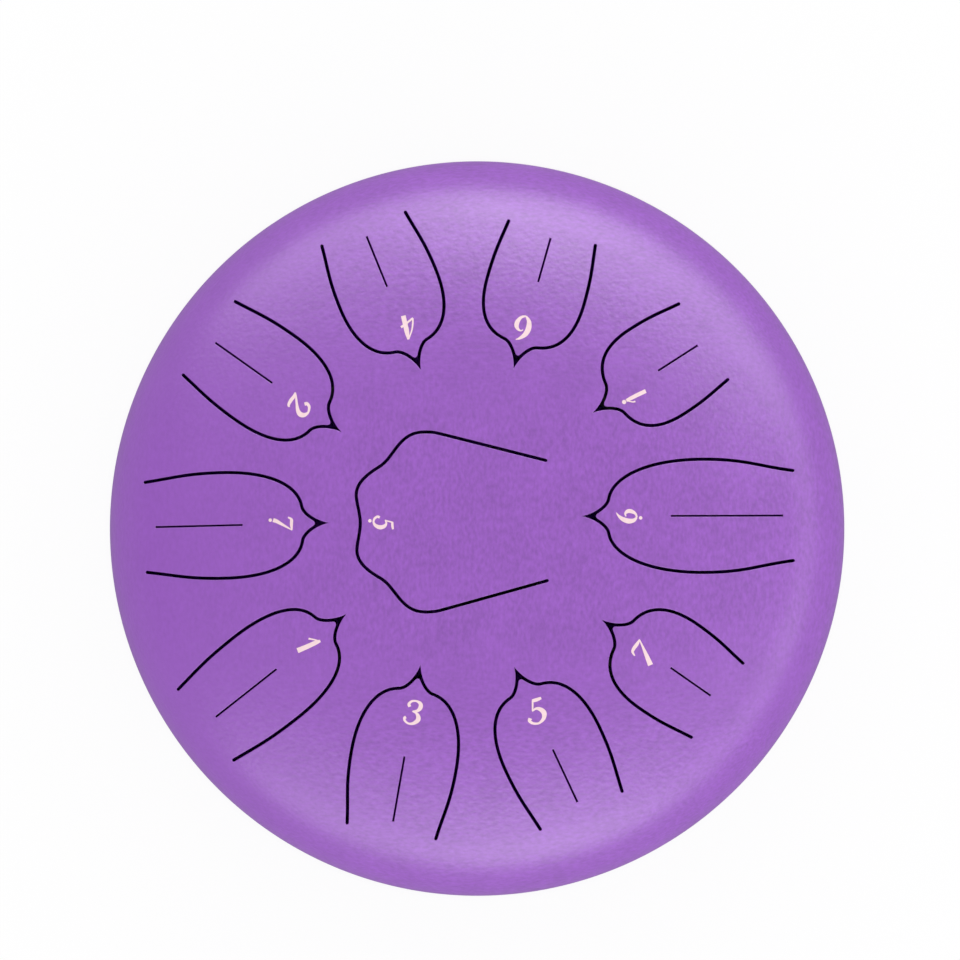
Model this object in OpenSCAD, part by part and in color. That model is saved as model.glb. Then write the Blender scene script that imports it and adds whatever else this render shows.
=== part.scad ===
// Steel tongue drum: two pressed steel shells welded at the rim, eleven tongues
// cut through the domed top, a sound hole in the flat base and four rubber feet.
// The drum stands on z = 0 with its axis on Z. The middle tongue is rooted on +X.

/* [Shells] */
// Outside diameter of the drum
drum_d = 305; // [285:1:330]
// Thickness of the steel sheet
sheet_t = 2; // [1.6:0.1:2.4]
// Outside radius of the shallow dome
dome_r = 620; // [500:10:900]
// Outside radius of the flank between the dome and the shoulder
flank_r = 200; // [160:10:220]
// Outside radius of the rounded shoulder
shoulder_r = 45; // [38:1:52]
// Height of the top shell's straight skirt
skirt_h = 20; // [14:1:30]
// Height of the bottom shell's straight wall
wall_h = 24; // [16:1:36]
// Outside radius between the base and the wall
knuckle_r = 52; // [44:1:58]
// Diameter of the sound hole in the base
sound_hole_d = 70; // [50:1:84]

/* [Rim joint] */
// Height of the bottom shell's lip inside the skirt
lip_h = 9; // [6:0.5:12]
// Gap between the lip and the skirt
lip_gap = 0.15; // [0.05:0.05:0.3]
// Chamfer that leads the lip into the skirt
lip_lead = 0.8; // [0.4:0.1:1.2]
// Depth and half height of the weld groove
weld_leg = 1.2; // [0.8:0.1:1.5]

/* [Tongues] */
// Width of the slit round each tongue
slit_w = 1.3; // [0.8:0.1:1.8]
// Width of the fine slot along each ring tongue
slot_w = 0.75; // [0.5:0.05:1.2]
// Width of a ring tongue at its root
root_w = 38.3; // [34:0.1:42]
// Length of the pointed neck at a ring tongue's tip
neck_l = 9.1; // [8:0.1:11]
// Width of a ring tongue where the neck ends
neck_w = 14.2; // [12:0.1:17]
// How far the slit runs on past a ring tongue's tip in a point
spur_l = 1.1; // [0.5:0.1:2]
// How far the middle tongue's axis lies off the drum's centre
middle_y = 2.9; // [0:0.05:6]

/* [Feet] */
// Height of a rubber foot
foot_h = 14; // [10:0.5:18]
// Diameter of a foot against the base
foot_top_d = 28; // [24:0.5:32]
// Diameter of a foot near the floor
foot_low_d = 24; // [21:0.5:28]
// Rounding of a foot's lower edge
foot_round = 2; // [1:0.5:2.5]
// Distance from a foot to the edge of the flat base
foot_inset = 6; // [3:0.5:12]
// Diameter of the recess for the screw head
recess_d = 14; // [12:0.5:15]
// Thickness of the rubber between the washer and the base
web_t = 5.5; // [4:0.5:6]

/* [Fasteners] */
// Nominal diameter of the screws
screw_d = 5; // [4:0.5:5]
// Length of a screw under its head
screw_l = 16; // [15:0.5:20]
// Diameter of a screw head
head_d = 9.5; // [8:0.1:10]
// Height of a screw head
head_h = 3.7; // [2.5:0.1:4]
// Width of the cross recess
cross_w = 1.1; // [0.8:0.1:1.4]
// Clearance of the holes round a screw
hole_gap = 0.25; // [0.1:0.05:0.5]
// Clearance between a nut's bore and the screw
thread_gap = 0.05; // [0.02:0.01:0.1]
// Clearance round the washer in the foot
washer_gap = 0.3; // [0.1:0.05:0.5]
// Thickness of the washer in the foot
foot_washer_t = 1.2; // [0.8:0.1:1.6]
// Outside diameter of the washer inside the shell
inner_washer_d = 12; // [10:0.5:15]
// Thickness of the washer inside the shell
inner_washer_t = 1; // [0.8:0.1:1.5]
// Width of a nut across its flats
nut_w = 8; // [7.5:0.1:9]
// Height of a nut
nut_h = 4.2; // [3.2:0.1:4.7]

/* [Hidden] */
$fn = 96;
foot_count = 4;
ring_count = 10;
cut_over = 1;
edge_steps = 7;
cap_steps = 4;

drum_r = drum_d / 2;
inner_r = drum_r - sheet_t;
lip_r = inner_r - lip_gap;
base_z = foot_h;
floor_z = base_z + sheet_t;
knuckle_z = base_z + knuckle_r;
seam_z = knuckle_z + wall_h;
shoulder_z = seam_z + skirt_h;
// Dome, flank and shoulder meet at this small angle, so that they cross cleanly
blend_angle = 1;
// Slope of the sheet where the flank runs into the shoulder
flank_angle = 25;
shoulder_reach = drum_r - shoulder_r;
flank_gap = centre_gap(flank_r, shoulder_r);
flank_reach = shoulder_reach - flank_gap * sin(flank_angle);
flank_z = shoulder_z - flank_gap * cos(flank_angle);
dome_gap = centre_gap(dome_r, flank_r);
dome_z = flank_z - sqrt(pow(dome_gap, 2) - pow(flank_reach, 2));
top_z = dome_z + dome_r;
flat_r = drum_r - knuckle_r;
foot_ring_r = flat_r - foot_top_d / 2 - foot_inset;
screw_hole_d = screw_d + 2 * hole_gap;
recess_z = base_z - web_t;
washer_z = recess_z - foot_washer_t;
nut_z = floor_z + inner_washer_t;
// Rounding of a screw head's edge, as a share of the head's height
head_round_share = 0.6;

// Ring tongues in turn from the one on +X, anticlockwise from above.
// Bearings are seen from the drum's axis, leans are the way each tongue's own axis runs.
tip_bearings = [6.5, 44.8, 77.1, 109.6, 144.6, 177.9, 213.3, 247.7, 285.2, 323.8];
tongue_leans = [0.2, 32.8, 74.2, 112.1, 144.7, 181.4, 218.2, 260, 295, 325.1];
// Tip distance, tongue length and widest half width, as shares of the drum's radius
tip_shares = [0.290, 0.445, 0.446, 0.457, 0.454, 0.405, 0.426, 0.403, 0.391, 0.421];
length_shares = [0.563, 0.348, 0.374, 0.406, 0.432, 0.488, 0.478, 0.448, 0.42, 0.373];
belly_shares = [0.156, 0.139, 0.139, 0.143, 0.142, 0.146, 0.142, 0.147, 0.143, 0.141];
// Start and end of each fine slot, as shares of its tongue's length
slot_shares = [
    [0.41, 0.95], [0.58, 0.945], [0.63, 0.96], [0.58, 0.945], [0.51, 0.95],
    [0.46, 0.945], [0.485, 0.925], [0.54, 0.94], [0.565, 0.94], [0.585, 0.94]
];
// Where a ring tongue is widest, along its length
belly_share = 0.567;
neck_angle = 81;
tip_angle = 11;
root_angle = 7;
// Handle lengths of the outline's curves: tip, neck in, neck out, belly in, belly out, root
handle_shares = [0.54, 0.3, 1, 0.61, 0.47, 0.39];

// Middle tongue's outline on one side of its axis, as shares of the drum's radius:
// notch at the tip, lobe, dip, crown, start of the straight flank, root
notch_share = [-0.317, 0];
lobe_share = [-0.327, 0.074];
dip_share = [-0.262, 0.153];
crown_share = [-0.14, 0.245];
flank_share = [-0.0905, 0.2385];
heel_share = [0.1865, 0.165];
dip_angle = 31;
// Turn of the middle tongue's axis from +X
middle_lean = 0.7;
// Handle lengths, as shares of the drum's radius: notch, lobe in and out, dip in and out, crown in and out
middle_handle_shares = [0.0245, 0.0185, 0.0385, 0.0305, 0.046, 0.07, 0.0215];

// Distance between the centres of two arcs that cross at the small blend angle
function centre_gap(wide_r, tight_r) =
    sqrt(pow(wide_r - tight_r, 2) + 2 * wide_r * tight_r * (1 - cos(blend_angle)));

// Direction at an angle, as a unit vector
function way(angle) = [cos(angle), sin(angle)];

// Cubic curve with four control points k, and its direction of travel
function curve_at(k, t) =
    pow(1 - t, 3) * k[0] + 3 * pow(1 - t, 2) * t * k[1] + 3 * (1 - t) * t * t * k[2] + pow(t, 3) * k[3];
function curve_way(k, t) =
    let (d = pow(1 - t, 2) * (k[1] - k[0]) + 2 * (1 - t) * t * (k[2] - k[1]) + t * t * (k[3] - k[2]))
    d / norm(d);

// Points along a chain of curves, moved to the right of the way they run
function edge_points(curves, move) = [
    for (c = [0:len(curves) - 1], i = [0:edge_steps])
        if (i < edge_steps || c == len(curves) - 1)
            let (t = i / edge_steps, w = curve_way(curves[c], t))
            curve_at(curves[c], t) + move * [w.y, -w.x]
];

// Keeps the part of an edge that lies off the axis, from where it leaves the axis
function above_axis(points) =
    let (
        first = [for (i = [1:len(points) - 1]) if (points[i].y > 0 && points[i - 1].y <= 0) i][0],
        a = points[first - 1],
        b = points[first]
    )
    concat([a + (b - a) * a.y / (a.y - b.y)], [for (i = [first:len(points) - 1]) points[i]]);

function mirrored(points) = [for (p = points) [p.x, -p.y]];
function reversed(points) = [for (i = [len(points) - 1:-1:0]) points[i]];
function but_first(points) = [for (i = [1:len(points) - 1]) points[i]];

// Round end of a slit, from the outer edge's last point to the inner edge's
function end_cap(from, to) =
    let (
        middle = (from + to) / 2,
        side = (from - to) / 2,
        ahead = [-side.y, side.x] * -1
    )
    [for (i = [1:cap_steps]) middle + side * cos(180 * i / (cap_steps + 1)) + ahead * sin(180 * i / (cap_steps + 1))];

// Outline of the slit round a tongue, from the curves of its outer edge on one side of the axis
function slit_points(curves) =
    let (
        outer = edge_points(curves, 0),
        inner = above_axis(edge_points(curves, slit_w)),
        cap = end_cap(outer[len(outer) - 1], inner[len(inner) - 1])
    )
    concat(
        reversed(mirrored(but_first(outer))), outer, cap,
        reversed(inner), mirrored(but_first(inner)), reversed(mirrored(cap))
    );

// Curves of a ring tongue: pointed neck, flank out to the belly, flank in to the root
function ring_curves(length, belly) =
    let (
        tip = [-spur_l, 0],
        neck = [neck_l, neck_w / 2],
        wide = [length * belly_share, belly],
        root = [length, root_w / 2],
        out = neck_l * way(neck_angle),
        run_in = [wide.x - neck.x, 0],
        run_out = [root.x - wide.x, 0]
    )
    [
        [tip, tip + handle_shares[0] * neck_l * way(tip_angle), neck - handle_shares[1] * out, neck],
        [neck, neck + handle_shares[2] * out, wide - handle_shares[3] * run_in, wide],
        [wide, wide + handle_shares[4] * run_out, root - handle_shares[5] * run_out.x * way(-root_angle), root]
    ];

// Curves of the middle tongue: notch to lobe, to dip, to crown, to the straight flank
function middle_curves() =
    let (
        spots = drum_r * [notch_share, lobe_share, dip_share, crown_share, flank_share, heel_share],
        h = drum_r * middle_handle_shares,
        flank = (spots[5] - spots[4]) / norm(spots[5] - spots[4])
    )
    [
        [spots[0], spots[0] + [0, h[0]], spots[1] - [0, h[1]], spots[1]],
        [spots[1], spots[1] + [0, h[2]], spots[2] - h[3] * way(dip_angle), spots[2]],
        [spots[2], spots[2] + h[4] * way(dip_angle), spots[3] - [h[5], 0], spots[3]],
        [spots[3], spots[3] + [h[6], 0], spots[4] - h[6] * flank, spots[4]],
        [spots[4], spots[4] + (spots[5] - spots[4]) / 3, spots[5] - (spots[5] - spots[4]) / 3, spots[5]]
    ];

// Part of a ring between two radii, cut off square to its arc at both ends
module band(r_in, r_out, start, end) {
    middle = (start + end) / 2;
    reach = 2 * r_out;
    intersection() {
        difference() {
            circle(r = r_out, $fn = 4 * $fn);
            circle(r = r_in, $fn = 4 * $fn);
        }
        polygon([[0, 0], reach * way(start), reach * way(middle), reach * way(end)]);
    }
}

// Everything under the dome, flank and shoulder, moved inwards by an inset
module crown(inset) {
    intersection() {
        translate([0, dome_z])
            circle(r = dome_r - inset, $fn = 4 * $fn);
        translate([0, shoulder_z])
            square([flank_reach * (dome_r - inset) / dome_gap, dome_r]);
    }
    intersection() {
        translate([flank_reach, flank_z])
            circle(r = flank_r - inset, $fn = 4 * $fn);
        translate([0, shoulder_z])
            square([flank_reach + (flank_r - inset) * sin(flank_angle), flank_r]);
    }
    intersection() {
        translate([shoulder_reach, shoulder_z])
            circle(r = shoulder_r - inset, $fn = 4 * $fn);
        translate([0, shoulder_z])
            square([drum_d, shoulder_r]);
    }
}

module top_profile() {
    difference() {
        crown(0);
        crown(sheet_t);
    }
    polygon([
        [inner_r, seam_z], [drum_r - weld_leg, seam_z], [drum_r, seam_z + weld_leg],
        [drum_r, shoulder_z], [inner_r, shoulder_z]
    ]);
}

module tongue_cuts() {
    for (i = [0:ring_count - 1]) {
        length = drum_r * length_shares[i];
        translate(drum_r * tip_shares[i] * way(tip_bearings[i]))
            rotate(tongue_leans[i]) {
                polygon(slit_points(ring_curves(length, drum_r * belly_shares[i])));
                translate([length * slot_shares[i][0], -slot_w / 2])
                    square([length * (slot_shares[i][1] - slot_shares[i][0]), slot_w]);
            }
    }
    translate([0, middle_y])
        rotate(middle_lean)
            polygon(slit_points(middle_curves()));
}

module top_shell() {
    color("mediumorchid")
        difference() {
            rotate_extrude($fn = 4 * $fn)
                top_profile();
            translate([0, 0, shoulder_z])
                linear_extrude(height = top_z - shoulder_z + cut_over)
                    tongue_cuts();
        }
}

module bottom_profile() {
    translate([0, base_z])
        square([flat_r, sheet_t]);
    translate([flat_r, knuckle_z])
        band(knuckle_r - sheet_t, knuckle_r, -90, 0);
    polygon([
        [inner_r, knuckle_z], [drum_r, knuckle_z],
        [drum_r, seam_z - weld_leg], [drum_r - weld_leg, seam_z], [lip_r, seam_z],
        [lip_r, seam_z + lip_h - lip_lead], [lip_r - lip_lead, seam_z + lip_h], [lip_r - sheet_t, seam_z + lip_h],
        [lip_r - sheet_t, seam_z - sheet_t / 2], [inner_r, seam_z - 2 * sheet_t - lip_gap]
    ]);
}

module bottom_shell() {
    color("rebeccapurple")
        difference() {
            rotate_extrude($fn = 4 * $fn)
                bottom_profile();
            translate([0, 0, base_z - cut_over])
                cylinder(d = sound_hole_d, h = sheet_t + 2 * cut_over);
            for (i = [1:foot_count])
                at_foot(i)
                    translate([0, 0, base_z - cut_over])
                        cylinder(d = screw_hole_d, h = sheet_t + 2 * cut_over);
        }
}

module rim_weld() {
    color("mediumorchid")
        rotate_extrude($fn = 4 * $fn)
            polygon([[drum_r - weld_leg, seam_z], [drum_r, seam_z - weld_leg], [drum_r, seam_z + weld_leg]]);
}

module at_foot(i) {
    rotate(360 * (i - 0.5) / foot_count)
        translate([foot_ring_r, 0])
            children();
}

module foot() {
    low_r = foot_low_d / 2;
    color("dimgray")
        difference() {
            rotate_extrude() {
                translate([low_r - foot_round, foot_round])
                    band(0, foot_round, -90, 0);
                polygon([
                    [0, 0], [low_r - foot_round, 0], [low_r - foot_round, foot_round], [low_r, foot_round],
                    [foot_top_d / 2, base_z - foot_round], [foot_top_d / 2, base_z], [0, base_z]
                ]);
            }
            translate([0, 0, -cut_over])
                cylinder(d = recess_d, h = recess_z + cut_over);
            cylinder(d = screw_hole_d, h = base_z + cut_over);
        }
}

module washer(outer_d, thickness) {
    color("silver")
        difference() {
            cylinder(d = outer_d, h = thickness);
            translate([0, 0, -cut_over])
                cylinder(d = screw_hole_d, h = thickness + 2 * cut_over);
        }
}

// Pan head screw pointing up, with the underside of its head at z = 0
module screw() {
    round_r = head_h * head_round_share;
    point = screw_d / 10;
    color("lightsteelblue")
        difference() {
            rotate_extrude() {
                translate([head_d / 2 - round_r, round_r - head_h])
                    band(0, round_r, -90, 0);
                polygon([
                    [0, -head_h], [head_d / 2 - round_r, -head_h], [head_d / 2 - round_r, round_r - head_h],
                    [head_d / 2, round_r - head_h], [head_d / 2, 0], [screw_d / 2, 0],
                    [screw_d / 2, screw_l - point], [screw_d / 2 - point, screw_l], [0, screw_l]
                ]);
            }
            for (turn = [0, 90])
                rotate(turn)
                    translate([-screw_d / 2, -cross_w / 2, -head_h - cut_over])
                        cube([screw_d, cross_w, head_h / 2 + cut_over]);
        }
}

module nut() {
    corner_r = nut_w / 2 / cos(30);
    bevel = (corner_r - nut_w / 2) / 2;
    color("silver")
        difference() {
            intersection() {
                cylinder(r = corner_r, h = nut_h, $fn = 6);
                rotate_extrude()
                    polygon([
                        [0, 0], [nut_w / 2, 0], [corner_r, bevel],
                        [corner_r, nut_h - bevel], [nut_w / 2, nut_h], [0, nut_h]
                    ]);
            }
            translate([0, 0, -cut_over])
                cylinder(d = screw_d + 2 * thread_gap, h = nut_h + 2 * cut_over);
        }
}

top_shell();
bottom_shell();
rim_weld();
for (i = [1:foot_count]) {
    at_foot(i) foot();
    at_foot(i) translate([0, 0, washer_z]) washer(recess_d - 2 * washer_gap, foot_washer_t);
    at_foot(i) translate([0, 0, washer_z]) screw();
    at_foot(i) translate([0, 0, floor_z]) washer(inner_washer_d, inner_washer_t);
    at_foot(i) translate([0, 0, nut_z]) nut();
}
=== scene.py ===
import bpy
import math
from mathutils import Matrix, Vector
from mathutils.geometry import delaunay_2d_cdt
from mathutils.kdtree import KDTree


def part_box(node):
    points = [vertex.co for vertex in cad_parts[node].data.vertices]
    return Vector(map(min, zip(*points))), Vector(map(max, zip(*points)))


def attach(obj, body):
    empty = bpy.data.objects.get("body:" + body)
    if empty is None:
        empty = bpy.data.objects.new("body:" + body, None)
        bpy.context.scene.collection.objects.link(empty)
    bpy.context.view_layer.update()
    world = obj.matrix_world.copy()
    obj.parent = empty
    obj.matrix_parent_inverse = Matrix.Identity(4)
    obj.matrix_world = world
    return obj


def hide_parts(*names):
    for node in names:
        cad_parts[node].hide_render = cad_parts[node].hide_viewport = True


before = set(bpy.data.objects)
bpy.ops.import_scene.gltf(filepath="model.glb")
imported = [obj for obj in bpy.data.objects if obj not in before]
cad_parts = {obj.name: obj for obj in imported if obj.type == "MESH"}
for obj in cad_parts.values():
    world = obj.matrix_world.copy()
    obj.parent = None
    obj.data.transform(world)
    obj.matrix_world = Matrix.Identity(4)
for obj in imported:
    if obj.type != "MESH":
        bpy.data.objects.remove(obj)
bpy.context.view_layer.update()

mm = 0.001

# Sizes here are in millimetres, in the same frame as the drum's own model
drum = {
    "radius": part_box("top_shell")[1].x / mm,
    "top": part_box("top_shell")[1].z / mm,
    "seam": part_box("top_shell")[0].z / mm,
    "sheet": 2.0,
    "weldLeg": 1.2,
    "ringSteps": 360,
}


# Helpers for meshes
def makePiece(name, points, faces, materials, replaced=()):
    # A face is (point numbers, normals at its corners, material number)
    mesh = bpy.data.meshes.new(name)
    mesh.from_pydata([Vector(p) * mm for p in points], [], [f[0] for f in faces])
    for material in materials:
        mesh.materials.append(material)
    for polygon, face in zip(mesh.polygons, faces):
        polygon.use_smooth = True
        polygon.material_index = face[2]
    mesh.normals_split_custom_set([n for f in faces for n in f[1]])
    piece = bpy.data.objects.new(name, mesh)
    bpy.context.scene.collection.objects.link(piece)
    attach(piece, "root")
    if replaced:
        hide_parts(*replaced)


def addRings(points, faces, rows, steps, number, start=None, end=None, centre=(0, 0)):
    # Joins rings of equal step, each row being (radius, height, normal outwards, normal upwards), in
    # the material of that number. The first and the last ring can be ones that are there already.
    base = []
    for k, (r, z, outwards, upwards) in enumerate(rows):
        there = start if k == 0 else end if k == len(rows) - 1 else None
        if there:
            base.append(there)
            continue
        base.append([len(points) + i for i in range(steps)])
        for i in range(steps):
            a = 2 * math.pi * i / steps
            points.append((centre[0] + r * math.cos(a), centre[1] + r * math.sin(a), z))

    def normalAt(k, i):
        a = 2 * math.pi * i / steps
        return (rows[k][2] * math.cos(a), rows[k][2] * math.sin(a), rows[k][3])

    for k in range(len(rows) - 1):
        for i in range(steps):
            j = (i + 1) % steps
            corners = (base[k][i], base[k + 1][i], base[k + 1][j], base[k][j])
            normals = (normalAt(k, i), normalAt(k + 1, i), normalAt(k + 1, j), normalAt(k, j))
            faces.append((corners, normals, number))
    return base[-1]


def addWalls(points, faces, spots, number, start, end=None):
    # Straight walls from spot to spot, each spot being (radius, height)
    for k in range(len(spots) - 1):
        (r, z), (nextR, nextZ) = spots[k], spots[k + 1]
        size = math.hypot(nextR - r, nextZ - z)
        normal = ((z - nextZ) / size, (nextR - r) / size)
        last = end if k == len(spots) - 2 else None
        start = addRings(points, faces, [(r, z, *normal), (nextR, nextZ, *normal)],
                         drum["ringSteps"], number, start, last)
    return start


def cutSheet(flat, loops, closeness, wanted):
    # Cuts a flat sheet along loops of its points, where points nearer to each other than closeness are
    # one. Gives its points, the wanted triangles, each turned to run anticlockwise, and where each point
    # that went in has come out.
    verts, edges, tris, fromVerts, fromEdges, fromFaces = delaunay_2d_cdt(flat, [], loops, 0, closeness)
    place = {old: new for new, olds in enumerate(fromVerts) for old in olds}
    kept = []
    for (a, b, c), inside in zip(tris, fromFaces):
        if wanted(inside):
            turnsLeft = (verts[b] - verts[a]).cross(verts[c] - verts[a]) >= 0
            kept.append((a, b, c) if turnsLeft else (a, c, b))
    return verts, kept, place


def clearOfHoles(inside):
    # The first loop is the sheet's own edge, and the others are holes
    return not any(loop > 0 for loop in inside)


# The shell's profile: three arcs that run into each other, from the axis out to the skirt
shellArcs = {"dome": 620.0, "flank": 200.0, "shoulder": 45.0, "flankSlope": 25.0}


def makeProfile():
    # Returns (centre radius, centre height, arc radius, sine of the slope where the arc ends)
    dome, flank, shoulder = shellArcs["dome"], shellArcs["flank"], shellArcs["shoulder"]
    ends = math.sin(math.radians(shellArcs["flankSlope"]))
    starts = (drum["radius"] - shoulder - (flank - shoulder) * ends) / (dome - flank)
    domeZ = drum["top"] - dome
    flankR = (dome - flank) * starts
    flankZ = domeZ + (dome - flank) * math.sqrt(1 - starts * starts)
    shoulderR = flankR + (flank - shoulder) * ends
    shoulderZ = flankZ + (flank - shoulder) * math.sqrt(1 - ends * ends)
    return [(0, domeZ, dome, starts), (flankR, flankZ, flank, ends), (shoulderR, shoulderZ, shoulder, 1)]


profile = makeProfile()


def surfaceAt(r, inset=0.0):
    # Height of the shell over a radius, and the sine of its slope there
    for centreR, centreZ, arc, ends in profile:
        slope = (r - centreR) / (arc - inset)
        if slope <= ends:
            break
    slope = min(slope, 1)
    return centreZ + (arc - inset) * math.sqrt(1 - slope * slope), slope


def onShell(x, y, inset=0.0):
    r = math.hypot(x, y)
    z, slope = surfaceAt(r, inset)
    up = math.sqrt(1 - slope * slope)
    normal = (x / r * slope, y / r * slope, up) if r else (0, 0, 1)
    return (x, y, z), normal


def evenRadii(limit, step):
    # Radii of rings at an even step along the sheet, from the axis out to a limit
    radii = []
    before = 0.0
    for centreR, centreZ, arc, ends in profile:
        last = math.asin(min(ends, (limit - centreR) / arc))
        count = max(1, round(arc * (last - before) / step))
        turns = [before + (last - before) * i / count for i in range(1, count + 1)]
        radii += [centreR + arc * math.sin(turn) for turn in turns]
        before = last
    return radii


# The tongues' outlines
tongues = {
    "slit": 1.3,
    "slot": 0.75,
    "root": 38.3,
    "spurLength": 1.1,
    "neckLength": 9.1,
    "neckWidth": 14.2,
    "bellyShare": 0.567,
    "neckAngle": 81,
    "tipAngle": 11,
    "rootAngle": 7,
    # Handles of the outline's curves from the tip on, as shares of the stretches that they bend
    "handleShares": (0.54, 0.3, 1, 0.61, 0.47, 0.39),
    # Bearing and lean in degrees. As shares of the drum's radius: how far out the tip lies, the length
    # and the widest half width. As shares of the length: where the fine slot starts and ends.
    "ring": (
        (6.5, 0.2, 0.290, 0.563, 0.156, 0.41, 0.95),
        (44.8, 32.8, 0.445, 0.348, 0.139, 0.58, 0.945),
        (77.1, 74.2, 0.446, 0.374, 0.139, 0.63, 0.96),
        (109.6, 112.1, 0.457, 0.406, 0.143, 0.58, 0.945),
        (144.6, 144.7, 0.454, 0.432, 0.142, 0.51, 0.95),
        (177.9, 181.4, 0.405, 0.488, 0.146, 0.46, 0.945),
        (213.3, 218.2, 0.426, 0.478, 0.142, 0.485, 0.925),
        (247.7, 260, 0.403, 0.448, 0.147, 0.54, 0.94),
        (285.2, 295, 0.391, 0.42, 0.143, 0.565, 0.94),
        (323.8, 325.1, 0.421, 0.373, 0.141, 0.585, 0.94),
    ),
    "middleY": 2.9,
    "middleLean": 0.7,
    # Shares of the drum's radius: notch, lobe, dip, crown, start of the straight flank, root
    "middleShares": (
        (-0.317, 0), (-0.327, 0.074), (-0.262, 0.153), (-0.14, 0.245), (-0.0905, 0.2385), (0.1865, 0.165),
    ),
    "middleHandleShares": (0.0245, 0.0185, 0.0385, 0.0305, 0.046, 0.07, 0.0215),
    "dipAngle": 31,
    # The ring tongues' tips are set back and rounded
    "tipBack": 1.4,
    "tipRound": 0.8,
    "tipSteps": 6,
    "stepLength": 1.0,
    "capSteps": 7,
}


def way(angle):
    a = math.radians(angle)
    return Vector((math.cos(a), math.sin(a)))


def curvePoint(k, t):
    u = 1 - t
    return u ** 3 * k[0] + 3 * u * u * t * k[1] + 3 * u * t * t * k[2] + t ** 3 * k[3]


def curveWay(k, t):
    u = 1 - t
    return (u * u * (k[1] - k[0]) + 2 * u * t * (k[2] - k[1]) + t * t * (k[3] - k[2])).normalized()


def edgePoints(curves, move):
    # Points along a chain of curves, moved to the right of the way they run
    found = []
    for k in curves:
        steps = max(2, round((k[3] - k[0]).length / tongues["stepLength"]))
        for i in range(steps + (k is curves[-1])):
            w = curveWay(k, i / steps)
            found.append(curvePoint(k, i / steps) + move * Vector((w.y, -w.x)))
    return found


def aboveAxis(points):
    first = next(i for i in range(1, len(points)) if points[i].y > 0 and points[i - 1].y <= 0)
    a, b = points[first - 1], points[first]
    return [a + (b - a) * (a.y / (a.y - b.y))] + points[first:]


def endCap(start, end):
    middle, side = (start + end) / 2, (start - end) / 2
    ahead = Vector((side.y, -side.x))
    steps = tongues["capSteps"]
    angles = [math.pi * i / (steps + 1) for i in range(1, steps + 1)]
    return [middle + side * math.cos(a) + ahead * math.sin(a) for a in angles]


def blunted(points):
    # The line starts on the axis, and its first part gives way to a curve that starts square to the axis
    back, steps = points[0].x + tongues["tipBack"], tongues["tipSteps"]
    first = next(i for i, p in enumerate(points) if p.x > back + tongues["tipRound"])
    joint, run = points[first], points[first + 1] - points[first]
    corner = Vector((back, joint.y - run.y / run.x * (joint.x - back)))
    start = Vector((back, 0))
    shares = [i / steps for i in range(steps)]
    bend = [(1 - t) ** 2 * start + 2 * t * (1 - t) * corner + t * t * joint for t in shares]
    return bend + points[first:]


def slitOutline(curves, blunt):
    outer = edgePoints(curves, 0)
    inner = aboveAxis(edgePoints(curves, tongues["slit"]))
    if blunt:
        inner = blunted(inner)
    cap = endCap(outer[-1], inner[-1])

    def mirrored(points):
        return [Vector((p.x, -p.y)) for p in points]

    return (mirrored(outer[1:])[::-1] + outer + cap + inner[::-1]
            + mirrored(inner[1:]) + mirrored(cap)[::-1])


def ringCurves(length, belly):
    neckL, handles = tongues["neckLength"], tongues["handleShares"]
    tip = Vector((-tongues["spurLength"], 0))
    neck = Vector((neckL, tongues["neckWidth"] / 2))
    wide = Vector((length * tongues["bellyShare"], belly))
    root = Vector((length, tongues["root"] / 2))
    out = neckL * way(tongues["neckAngle"])
    runIn = Vector((wide.x - neck.x, 0))
    runOut = Vector((root.x - wide.x, 0))
    return [
        (tip, tip + handles[0] * neckL * way(tongues["tipAngle"]), neck - handles[1] * out, neck),
        (neck, neck + handles[2] * out, wide - handles[3] * runIn, wide),
        (wide, wide + handles[4] * runOut, root - handles[5] * runOut.x * way(-tongues["rootAngle"]), root),
    ]


def middleCurves():
    notch, lobe, dip, crown, flank, heel = [drum["radius"] * Vector(s) for s in tongues["middleShares"]]
    h = [drum["radius"] * share for share in tongues["middleHandleShares"]]
    lean = way(tongues["dipAngle"])
    run = (heel - flank).normalized()
    return [
        (notch, notch + Vector((0, h[0])), lobe - Vector((0, h[1])), lobe),
        (lobe, lobe + Vector((0, h[2])), dip - h[3] * lean, dip),
        (dip, dip + h[4] * lean, crown - Vector((h[5], 0)), crown),
        (crown, crown + Vector((h[6], 0)), flank - h[6] * run, flank),
        (flank, flank + (heel - flank) / 3, heel - (heel - flank) / 3, heel),
    ]


def slotOutline(start, end):
    half, step = tongues["slot"] / 2, tongues["stepLength"]
    steps = round((end - start) / step)
    xs = [start + (end - start) * i / steps for i in range(steps + 1)]
    return [Vector((x, -half)) for x in xs] + [Vector((x, half)) for x in reversed(xs)]


def placed(points, origin, angle):
    along, across = way(angle), way(angle + 90)
    return [origin + p.x * along + p.y * across for p in points]


def allOutlines():
    found = []
    for bearing, lean, tip, length, belly, start, end in tongues["ring"]:
        origin = drum["radius"] * tip * way(bearing)
        length *= drum["radius"]
        curves = ringCurves(length, belly * drum["radius"])
        found.append(placed(slitOutline(curves, True), origin, lean))
        found.append(placed(slotOutline(length * start, length * end), origin, lean))
    middle = Vector((0, tongues["middleY"]))
    found.append(placed(slitOutline(middleCurves(), False), middle, tongues["middleLean"]))
    return found


# Top shell
topShell = {
    "capRadius": 143.0,
    "domeStep": 3.0,
    "edgeRound": 0.25,
    "edgeSteps": 3,
    "mitreLimit": 2.5,
    # Where an outline turns back on itself, its two ways add up to less than this
    "hairpin": 0.05,
    # Fill points keep this share of a step away from the outlines
    "clearShare": 0.5,
    "closeness": 1e-6,
    "shoulderSteps": 18,
    "skirtSteps": 5,
}


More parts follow.
